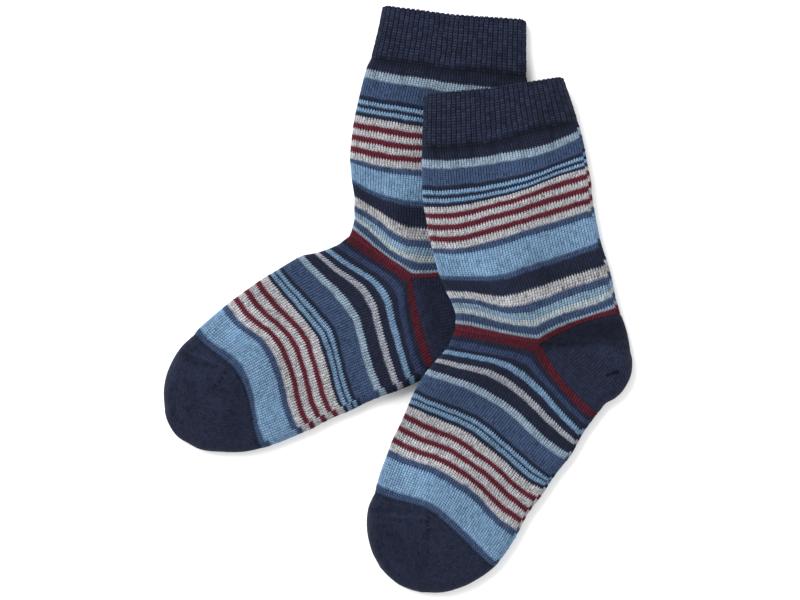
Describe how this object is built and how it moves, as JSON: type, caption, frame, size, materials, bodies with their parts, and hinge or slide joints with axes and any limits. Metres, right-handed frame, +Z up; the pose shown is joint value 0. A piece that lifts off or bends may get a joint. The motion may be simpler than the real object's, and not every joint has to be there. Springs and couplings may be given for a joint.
{
  "type": "pair of socks",
  "caption": "Child's striped crew socks with ribbed cuffs and shaped heel and toe pockets, lying flat as a pair, partly overlapping; hollow knitted tubes, open at the cuff.",
  "frame": {"origin": "centre of the pair's bounding box in plan, on the surface that the socks lie on", "axes": "+Z up from the surface, +Y from the toes towards the cuffs, +X towards the heels"},
  "size_m": [0.2016, 0.252, 0.0196],
  "materials": {
    "navy_rib": "matte 1x1 rib knit, navy",
    "striped_knit": "matte plain knit in navy, denim, sky, ice, grey melange and dark red stripes",
    "navy_knit": "matte plain knit, navy"
  },
  "bodies": {
    "root": {"rear_cuff": "navy_rib", "rear_leg": "striped_knit", "rear_heel": "navy_knit", "rear_foot": "striped_knit", "rear_toe": "navy_knit", "front_cuff": "navy_rib", "front_leg": "striped_knit", "front_heel": "navy_knit", "front_foot": "striped_knit", "front_toe": "navy_knit"}
  },
  "joints": []
}
